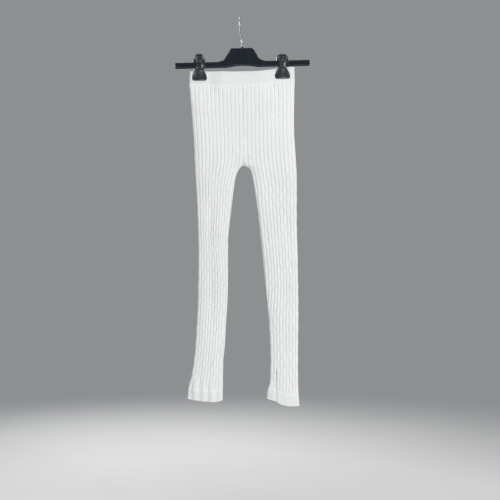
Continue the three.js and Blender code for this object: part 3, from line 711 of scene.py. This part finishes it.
def make_band(name, leg, edges, top, bottom, ribs, seam_at, ripple, columns, material):
    """A plain knit tube with rounded rims, rippled by the ribs where it is sewn to them. ribs is
    how many of them its front meets."""
    top_rim, bottom_rim = (SEAM_RIM if edge == seam_at else BAND_WALL / 2
                           for edge in (top, bottom))
    turns = np.linspace(math.pi / 2, 0, 5)
    down = (1 - np.cos(np.linspace(0, math.pi, BAND_ROWS))) / 2
    z = np.concatenate([top - top_rim + top_rim * np.sin(turns[:-1]),
                        top - top_rim + (bottom + bottom_rim - top + top_rim) * down,
                        bottom + bottom_rim - bottom_rim * np.sin(turns[::-1][1:])])
    offset = BAND_WALL - np.concatenate([top_rim * (1 - np.cos(turns[:-1])),
                                         np.zeros(BAND_ROWS),
                                         bottom_rim * (1 - np.cos(turns[::-1][1:]))])
    inside_z = np.linspace(top - top_rim / 2, bottom + bottom_rim / 2, BAND_INSIDE_ROWS)
    layers = []
    for rows, count, outside in ((z, columns, True), (inside_z, columns // 2, False)):
        first, last = edges(rows)
        side = np.sign(last - first)[0]
        place = np.arange(count) / count
        loops = flat_loops(rows, first + side * BAND_WALL, last - side * BAND_WALL,
                           np.zeros_like(rows))
        points, out = along_loops(loops, np.broadcast_to(place, (len(rows), count)), side, True)
        if outside:
            near_seam = ripple * (1 - smoothstep(abs(rows - seam_at), 0, RIPPLE_REACH))
            rise = rib_profile(ribs * (2 * place - 1), seam_at) - 0.5
            from_rim = abs(rows - (bottom if seam_at == top else top))
            roll = bump(from_rim, *RIM_ROLL) - bump(from_rim, *RIM_DIP)
            points += out * (offset + roll)[:, None, None]
            points += out * (near_seam[:, None] * rise)[..., None]
        heights = np.broadcast_to(rows[:, None], points.shape[:2])
        layers.append((drape(leg, np.dstack([points, heights])), -rows, place))
    faces = wall_faces(*layers, ring=True)
    points = np.concatenate([layer[0].reshape(-1, 3) for layer in layers])
    uv = np.concatenate([
        stitch_map(-rows, np.broadcast_to(ribs * (2 * place - 1), (len(rows), len(place))))
        for _, rows, place in layers
    ])
    return face_outwards(add_mesh(name, points, faces, material, uv=uv))


# Hanger pieces

def on_hanger(points):
    """Places of points given along, across and above the middle of the tilted rail."""
    points = np.asarray(points, float)
    along, above = points[..., 0], points[..., 2]
    x = RAIL_CENTRE[0] + along * math.cos(RAIL_TILT) - above * math.sin(RAIL_TILT)
    z = RAIL_CENTRE[1] + along * math.sin(RAIL_TILT) + above * math.cos(RAIL_TILT)
    return np.stack([x, points[..., 1], z], axis=-1)


def drawn(start, steps):
    """Points of an outline: each step is one end point, or a control point and an end point."""
    points = [np.array(start, float)]
    for step in steps:
        end = np.array(step[-1], float)
        if len(step) == 1:
            points.append(end)
            continue
        control, begin = np.array(step[0], float), points[-1]
        for t in np.linspace(0, 1, BEND_STEPS + 1)[1:]:
            points.append((1 - t) ** 2 * begin + 2 * t * (1 - t) * control + t ** 2 * end)
    return np.array(points[:-1])


def hanger_outline(inset):
    """The hanger's outline seen from the front, drawn inwards by inset."""
    end = RAIL_LENGTH / 2 - inset
    top = RAIL_HEIGHT / 2 - inset
    radius = max(RAIL_END_RADIUS - inset, 0.8)
    crown = HUMP_TOP - inset
    left = {name: x + inset for name, x in HUMP_LEFT.items()}
    right = {name: x - inset for name, x in HUMP_RIGHT.items()}
    arch = ARCH_HALF_WIDTH
    return drawn((-end + radius, -top), [
        [(-arch, -top)],
        [(0, -top + 2 * ARCH_RISE), (arch, -top)],
        [(end - radius, -top)],
        [(end, -top), (end, -top + radius)],
        [(end, top - radius)],
        [(end, top), (end - radius, top)],
        [(HUMP_RIGHT["foot"], top)],
        [(right["waist"] + 2, top + 3), (right["waist"], top + 14)],
        [(right["shoulder"], crown - HUMP_RIGHT_CORNER)],
        [(right["shoulder"] - HUMP_RIGHT_CUT, crown - HUMP_RIGHT_CUT / 2),
         (right["shoulder"] - HUMP_RIGHT_CORNER, crown)],
        [(left["shoulder"] + HUMP_LEFT_CORNER, crown)],
        [(left["shoulder"], crown), (left["shoulder"] - 1, crown - HUMP_LEFT_CORNER)],
        [(left["waist"], top + 9)],
        [(left["waist"] - 4, top + 2), (HUMP_LEFT["foot"], top)],
        [(-end + radius, top)],
        [(-end, top), (-end, top - radius)],
        [(-end, -top + radius)],
        [(-end, -top), (-end + radius, -top)],
    ])


def lathe(profile, sides):
    """A body turned about the upright axis from (radius, height) rows."""
    turns = np.linspace(0, 2 * math.pi, sides, endpoint=False)
    rings = [np.stack([radius * np.cos(turns), radius * np.sin(turns), np.full(sides, height)],
                      axis=-1) for radius, height in profile]
    return loft(rings)


def make_hanger_body(material):
    half, recess = RAIL_DEPTH / 2, WEB_DEPTH / 2
    turns = np.linspace(0, math.pi / 2, 5)
    insets = RIM_ROUNDING * (1 - np.cos(turns))
    depths = half - RIM_ROUNDING + RIM_ROUNDING * np.sin(turns)
    profile = [(FLANGE + 0.9, recess), (FLANGE + 0.3, recess + 0.05), (FLANGE, recess + 0.5)]
    profile += list(zip(FLANGE - insets, depths)) + list(zip(insets[::-1], depths[::-1]))
    rings = []
    for face in (-1, 1):
        for inset, depth in profile[::-face]:
            outline = hanger_outline(inset)
            y = np.full(len(outline), face * depth)
            rings.append(np.stack([outline[:, 0], y, outline[:, 1]], axis=-1))
    bore = WIRE_RADIUS + BORE_CLEARANCE
    foot = HUMP_TOP - HOOK_FOOT_DEPTH - BORE_CLEARANCE - NUB_HEIGHT
    rim = NUB_RADIUS * NUB_TAPER
    nub = lathe([
        (0.2, foot), (POST_RADIUS - 0.8, foot), (POST_RADIUS, foot + 0.8),
        (POST_RADIUS, HUMP_TOP - NUB_HEIGHT), (4.2, HUMP_TOP - 2.4), (4.2, HUMP_TOP - 0.4),
        (3.9, HUMP_TOP + 0.4), (rim + 0.2, HUMP_TOP + 2.6), (rim - 0.2, HUMP_TOP + 3.2),
        (rim - 0.7, HUMP_TOP + NUB_HEIGHT), (bore, HUMP_TOP + 3.2), (bore, HUMP_TOP - 5.0),
        (0.2, HUMP_TOP - 5.0),
    ], 28)
    points, faces = joined(loft(rings[:len(profile)][::-1] + rings[len(profile):][::-1]), nub)
    return face_outwards(add_mesh("HangerBody", on_hanger(points), faces, material, sharp=40))


def make_hook(material):
    mouth = HUMP_TOP + NUB_HEIGHT
    foot, entry = on_hanger([(0, 0, mouth - HOOK_FOOT_DEPTH), (0, 0, mouth + 1)])

    def lean(z):
        return entry[0] * min(max((HOOK_STRAIGHT_TOP - z) / (HOOK_STRAIGHT_TOP - entry[2]), 0), 1)

    points = [tuple(foot), tuple(entry)] + [(lean(z), y, z) for y, z in HOOK_STEM]
    for angle in HOOK_ARC:
        turn = math.radians(angle)
        z = WIRE_RADIUS - HOOK_RADIUS + HOOK_RADIUS * math.sin(turn)
        points.append((lean(z), -HOOK_RADIUS * math.cos(turn), z))
    route = smooth_route(points, 12)
    from_tip = np.linalg.norm(route - route[-1], axis=1)
    radii = WIRE_RADIUS * np.maximum(rounded(from_tip / WIRE_RADIUS), 0.12)
    return face_outwards(add_mesh("HangerHook", *loft(sweep(route, radii, HOOK_SIDES)), material))


def make_clip_half(name, clip, face, top, height, material):
    columns = {key: [] for key in ("height", "width", "face", "thick")}
    for kind, at, shares, inner_face, thick in CLIP_ROWS:
        columns["height"].append(at * top if kind == "up" else at)
        widths = (clip["lever"], clip["neck"], clip["jaw"])
        columns["width"].append(sum(w * share for w, share in zip(widths, shares)))
        columns["face"].append(inner_face)
        columns["thick"].append(thick)
    last = len(CLIP_ROWS) - 1
    steps = np.linspace(0, last, CLIP_STEPS * last + 1)
    rows = {key: curve(list(enumerate(values)))(steps) for key, values in columns.items()}
    turns = np.linspace(0, 2 * math.pi, CLIP_SIDES, endpoint=False)
    across = np.sign(np.cos(turns)) * abs(np.cos(turns)) ** (2 / CLIP_SQUARENESS)
    outwards = np.sign(np.sin(turns)) * abs(np.sin(turns)) ** (2 / CLIP_SQUARENESS)
    outer_share = (1 + outwards) / 2
    inland = 1 - abs(across) ** 8
    rings = []
    for z, width, inner_face, thick in zip(*(rows[key] for key in columns)):
        (rise, risen), (fall, fallen) = ([share * top for share in shares]
                                         for shares in (GRIP_BOTTOM, GRIP_TOP))
        grip = smoothstep(z, rise, risen) * (1 - smoothstep(z, fall, fallen))
        hollow = bump(z, PIVOT_HOLLOW, PIVOT_HOLLOW_AT * top, PIVOT_HOLLOW_WIDTH)
        turn = 2 * math.pi * clip["grip_ribs"] * across / GRIP_PITCH
        ribs = GRIP_HEIGHT * grip * np.cos(turn) ** 2
        ribs = ribs * (clip["grip_ribs"] > 0) * (1 - abs(across) ** 6)
        step = JAW_STEP * smoothstep(z, *JAW_STEP_AT) * inland
        relief = ribs + bump(z, *LIP) - JAW_STEP + step
        relief = relief * (z < 0 or clip["grip_ribs"] > 0)
        depth = inner_face + thick * (outer_share - CLIP_CROWN * outer_share * across ** 2)
        depth = depth + outer_share * (relief * inland - hollow)
        rings.append(np.stack([clip["x"] + across * width / 2, face * depth,
                               np.full(len(turns), height + z)], axis=-1))
    for end, beyond, shift in ((0, 0, 0.35), (-1, len(rings) + 1, -0.35)):
        ring = rings[end]
        middle = ring.mean(axis=0)
        cap = middle + (ring - middle) * (0.94, 0.6, 1)
        cap[:, 2] += shift
        rings.insert(beyond, cap)
    return face_outwards(add_mesh(name, *loft(rings), material, sharp=55))


def make_slider(name, along, material):
    """The block that rides on the rail, with rounded corners and the rail's hole through it."""
    def section(half_depth, bottom, top, radius, x):
        corners = [(half_depth, bottom), (half_depth, top), (-half_depth, top),
                   (-half_depth, bottom)]
        points = []
        for quarter, (y, z) in enumerate(corners):
            middle = (y - math.copysign(radius, y), z - math.copysign(radius, z))
            for turn in np.linspace(-math.pi / 2, 0, 7) + quarter * math.pi / 2:
                points.append((x, middle[0] + radius * math.cos(turn),
                               middle[1] + radius * math.sin(turn)))
        return points

    half, depth, edge = SLIDER["width"] / 2, SLIDER["depth"] / 2, 0.8
    hole_y = RAIL_DEPTH / 2 + RAIL_CLEARANCE
    hole_z = RAIL_HEIGHT / 2 + RAIL_CLEARANCE
    rings = []
    for end in (-1, 1):
        outside = [section(depth - inset, inset - SLIDER["below"], SLIDER["above"] - inset,
                           SLIDER["radius"] - inset / 2, end * (half - back))
                   for inset, back in ((0, edge), (0.1, 0.4), (0.4, 0.1), (edge, 0))]
        inside = [section(hole_y + spread, -hole_z - spread, hole_z + spread, 0.4,
                          end * (half - back)) for spread, back in ((0.5, 0), (0, 0.6))]
        rings += (outside + inside)[::-end]
    points, faces = loft(rings[::-1], closed=True)
    points = on_hanger(points + np.array([along, 0, 0]))
    return face_outwards(add_mesh(name, points, faces, material, sharp=35))


# Materials

def new_material(name):
    material = bpy.data.materials.new(name)
    material.use_nodes = True
    return material, material.node_tree, material.node_tree.nodes["Principled BSDF"]


def maths(tree, operation, *values):
    node = tree.nodes.new("ShaderNodeMath")
    node.operation = operation
    for socket, value in zip(node.inputs, values):
        if isinstance(value, (int, float)):
            socket.default_value = value
        else:
            tree.links.new(value, socket)
    return node.outputs[0]


def noise(tree, scale, detail=3.0, stretch=(1, 1, 1)):
    """An uneven value about 0.5 over the object, in detail this many times a metre."""
    place = tree.nodes.new("ShaderNodeTexCoord")
    mapping = tree.nodes.new("ShaderNodeMapping")
    mapping.inputs["Scale"].default_value = stretch
    texture = tree.nodes.new("ShaderNodeTexNoise")
    texture.inputs["Scale"].default_value = scale
    texture.inputs["Detail"].default_value = detail
    tree.links.new(place.outputs["Object"], mapping.inputs["Vector"])
    tree.links.new(mapping.outputs["Vector"], texture.inputs["Vector"])
    return texture.outputs["Fac"]


def ranged(tree, value, low, high, to_low, to_high, smooth=False):
    node = tree.nodes.new("ShaderNodeMapRange")
    node.interpolation_type = "SMOOTHSTEP" if smooth else "LINEAR"
    for name, number in (("From Min", low), ("From Max", high), ("To Min", to_low),
                         ("To Max", to_high)):
        node.inputs[name].default_value = number
    tree.links.new(value, node.inputs["Value"])
    return node.outputs["Result"]


def shaded(tree, colour, value):
    """A colour multiplied by a value that changes over the surface."""
    node = tree.nodes.new("ShaderNodeMix")
    node.data_type = "RGBA"
    node.blend_type = "MULTIPLY"
    node.inputs["Factor"].default_value = 1
    node.inputs["A"].default_value = (*colour, 1)
    tree.links.new(value, node.inputs["B"])
    return node.outputs["Result"]


def add_bump(tree, shader, height, distance, strength):
    node = tree.nodes.new("ShaderNodeBump")
    node.inputs["Strength"].default_value = strength
    node.inputs["Distance"].default_value = distance
    tree.links.new(height, node.inputs["Height"])
    tree.links.new(node.outputs["Normal"], shader.inputs["Normal"])


def knit_material(name, colour, ribbed):
    """Off-white knit: V stitches in wales, soft fuzz, painted shade between the stitches' strands,
    and for the ribs painted shade in the grooves.
    """
    material, tree, shader = new_material(name)
    uv = tree.nodes.new("ShaderNodeUVMap")
    uv.uv_map = "knit"
    split = tree.nodes.new("ShaderNodeSeparateXYZ")
    tree.links.new(uv.outputs["UV"], split.inputs["Vector"])
    across, down = split.outputs["X"], split.outputs["Y"]
    wale = maths(tree, "FRACT", maths(tree, "MULTIPLY", across, WALES_PER_RIB))
    off = maths(tree, "ABSOLUTE", maths(tree, "SUBTRACT", wale, 0.5))
    slanted = maths(tree, "SUBTRACT", down, maths(tree, "MULTIPLY", off, 1.3))
    strand = ranged(tree, maths(tree, "SINE", maths(tree, "MULTIPLY", slanted, 2 * math.pi)),
                    -1, 1, 0, 1)
    crown = maths(tree, "COSINE", maths(tree, "MULTIPLY", off, math.pi))
    stitch = maths(tree, "MULTIPLY", crown, ranged(tree, strand, 0, 1, 0.45, 1.0))
    fuzz = noise(tree, 1400, 4)
    height = maths(tree, "ADD", stitch, maths(tree, "MULTIPLY", fuzz, 0.35))
    add_bump(tree, shader, height, 0.0004, 0.55)
    patches = ranged(tree, noise(tree, 11, 4), 0.3, 0.7, 0.965, 1.02)
    yarn = ranged(tree, noise(tree, 420, 2, (1, 1, 0.35)), 0.3, 0.7, 0.97, 1.02)
    # Random patches and yarn tone, times painted shade where the stitch height is low, between the
    # yarn's strands
    light = maths(tree, "MULTIPLY", maths(tree, "MULTIPLY", patches, yarn),
                  ranged(tree, stitch, 0, 1, 0.93, 1.01))
    # Painted shade: the grooves between the ribs are darkened in the colour, less at the hips than
    # down the legs, fading out where the ribs meet the bands
    if ribbed:
        rise = maths(tree, "ABSOLUTE", maths(tree, "SINE",
                                             maths(tree, "MULTIPLY", across, math.pi)))
        rows = [(LEG_TOP - z) / STITCH_HEIGHT for z in reversed(WAVES_SPAN)]
        shade = ranged(tree, down, *rows, 1 - HIP_GROOVE_SHADE, 1 - LEG_GROOVE_SHADE, True)
        groove = ranged(tree, rise, 0.0, 0.8, 1.0, 0.0, True)
        grown = RIBS_GROWN / STITCH_HEIGHT
        last = (LEG_TOP - HEM_SEAM) / STITCH_HEIGHT
        ends = maths(tree, "MULTIPLY", ranged(tree, down, 0, grown, 0, 1, True),
                     ranged(tree, down, last - grown, last, 1, 0, True))
        painted_groove_shade = maths(tree, "MULTIPLY", maths(tree, "MULTIPLY", groove, shade), ends)
        light = maths(tree, "MULTIPLY", light, maths(tree, "SUBTRACT", 1.0, painted_groove_shade))
    tree.links.new(shaded(tree, colour, light), shader.inputs["Base Color"])
    shader.inputs["Roughness"].default_value = 0.95
    shader.inputs["Specular IOR Level"].default_value = 0.25
    shader.inputs["Sheen Weight"].default_value = 0.22
    shader.inputs["Sheen Roughness"].default_value = 0.45
    return material


def plastic_material(name, colour, roughness):
    """Moulded plastic with flow marks and fine scuffs."""
    material, tree, shader = new_material(name)
    flow = ranged(tree, noise(tree, 60, 3, (1, 1, 0.4)), 0.3, 0.7, 0.8, 1.25)
    tree.links.new(shaded(tree, colour, flow), shader.inputs["Base Color"])
    scuffs = ranged(tree, noise(tree, 240, 5, (0.25, 1, 1)), 0.52, 0.7, 0.0, 0.16)
    gloss = ranged(tree, noise(tree, 35, 2), 0.3, 0.7, roughness - 0.05, roughness + 0.05)
    rough = maths(tree, "ADD", gloss, scuffs)
    tree.links.new(rough, shader.inputs["Roughness"])
    add_bump(tree, shader, noise(tree, 190, 4), 0.0003, 0.12)
    return material


def wire_material():
    material, tree, shader = new_material("bright plated steel")
    flow = ranged(tree, noise(tree, 90, 3, (1, 1, 0.3)), 0.3, 0.7, 0.9, 1.08)
    tree.links.new(shaded(tree, WIRE_COLOUR, flow), shader.inputs["Base Color"])
    shader.inputs["Metallic"].default_value = 1
    rough = ranged(tree, noise(tree, 700, 4, (1, 1, 0.15)), 0.3, 0.7, 0.28, 0.38)
    tree.links.new(rough, shader.inputs["Roughness"])
    add_bump(tree, shader, noise(tree, 900, 3, (1, 1, 0.1)), 0.0001, 0.08)
    return material


def floor_material(radius):
    """A pale matt floor that fades out towards its rim."""
    material, tree, shader = new_material("pale floor")
    colour = ranged(tree, noise(tree, 1.5, 3), 0.3, 0.7, 0.97, 1.03)
    tree.links.new(shaded(tree, FLOOR_COLOUR, colour), shader.inputs["Base Color"])
    shader.inputs["Roughness"].default_value = 0.9
    place = tree.nodes.new("ShaderNodeTexCoord")
    length = tree.nodes.new("ShaderNodeVectorMath")
    length.operation = "LENGTH"
    tree.links.new(place.outputs["Object"], length.inputs[0])
    alpha = ranged(tree, length.outputs["Value"], 0.35 * radius, radius, 1.0, 0.0, True)
    tree.links.new(alpha, shader.inputs["Alpha"])
    return material


# The object

knit_ribs = knit_material("off-white waved rib knit", RIB_KNIT_COLOUR, True)
knit_plain = knit_material("off-white plain knit", PLAIN_KNIT_SHADED_COLOUR, False)
hanger_plastic = plastic_material("glossy navy plastic", HANGER_COLOUR, HANGER_ROUGHNESS)
# The clips' lighter colour is partly a painted reflection
clip_plastic = plastic_material("satin blue-black plastic", CLIP_COLOUR_AND_PAINTED_SHEEN, CLIP_ROUGHNESS)
wire = wire_material()


def dress(piece, node):
    """Hangs a piece on the one body, in place of its CAD node."""
    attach(piece, "root")
    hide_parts(node)
    return piece


def waist_edges(z):
    return LEGS["right"]["outer"](z), LEGS["left"]["outer"](z)


def hem_edges(leg):
    return lambda z: (leg["inner"](z), leg["outer"](z))


waistband = dress(make_band("Waistband", None, waist_edges, WAIST_TOP, LEG_TOP, RIBS_ROUND_LEG,
                            LEG_TOP, WAISTBAND_RIPPLE, WAISTBAND_COLUMNS, knit_plain),
                  "waistband")
for side, leg in LEGS.items():
    panel = dress(make_leg(f"Leg{side.title()}", leg, knit_ribs), f"leg_{side}")
    hem = dress(make_band(f"Hem{side.title()}", leg, hem_edges(leg), HEM_SEAM, HEM_BOTTOM,
                          leg["ribs"](HEM_SEAM), HEM_SEAM, HEM_RIPPLE, HEM_COLUMNS, knit_plain),
                f"hem_{side}")

dress(make_hanger_body(hanger_plastic), "hanger_body")
dress(make_hook(wire), "hanger_hook")
for name, clip in CLIPS.items():
    title = name.title().replace("_", "")
    along = (clip["x"] - RAIL_CENTRE[0]) / math.cos(RAIL_TILT)
    height = on_hanger((along, 0, 0))[2]
    # The slider takes the hanger's darker plastic, not the clips' lighter one, partly as painted
    # shade for where it sits beside the neck
    dress(make_slider(f"{title}Slider", along, hanger_plastic), f"{name}_slider")
    for half, face in (("front", -1), ("back", 1)):
        piece = make_clip_half(f"{title}{half.title()}", clip, face, clip[f"{half}_top"],
                               height, clip_plastic)
        dress(piece, f"{name}_{half}")


# Floor, light and camera

def add_floor(z, radius):
    turns = np.linspace(0, 2 * math.pi, 96, endpoint=False)
    points = np.stack([radius * np.cos(turns), radius * np.sin(turns), 0 * turns], axis=-1)
    floor = add_mesh("Floor", points / MM, [list(range(96))], floor_material(radius))
    floor.location = (0, 0, z)


def add_light(name, place, aim, size, power, colour):
    light = bpy.data.lights.new(name, "AREA")
    light.shape = "DISK"
    light.size = size
    light.energy = power
    light.color = colour
    lamp = bpy.data.objects.new(name, light)
    bpy.context.scene.collection.objects.link(lamp)
    lamp.location = place
    direction = Vector(aim) - Vector(place)
    lamp.rotation_euler = direction.to_track_quat("-Z", "Y").to_euler()


add_floor(FLOOR_Z, FLOOR_RADIUS)
for light in LIGHTS:
    add_light(*light)

world = bpy.data.worlds.new("Studio")
world.use_nodes = True
world.node_tree.nodes["Background"].inputs["Color"].default_value = (*WORLD_COLOUR, 1)
bpy.context.scene.world = world
bpy.context.scene.view_settings.view_transform = "Standard"

lens = bpy.data.cameras.new("Camera")
lens.sensor_width = 36
lens.lens = lens.sensor_width * CAMERA_DISTANCE / VIEW_WIDTH
camera = bpy.data.objects.new("Camera", lens)
bpy.context.scene.collection.objects.link(camera)
camera.location = (VIEW_CENTRE[0], -CAMERA_DISTANCE, VIEW_CENTRE[1])
camera.rotation_euler = (math.pi / 2, 0, 0)
bpy.context.scene.camera = camera
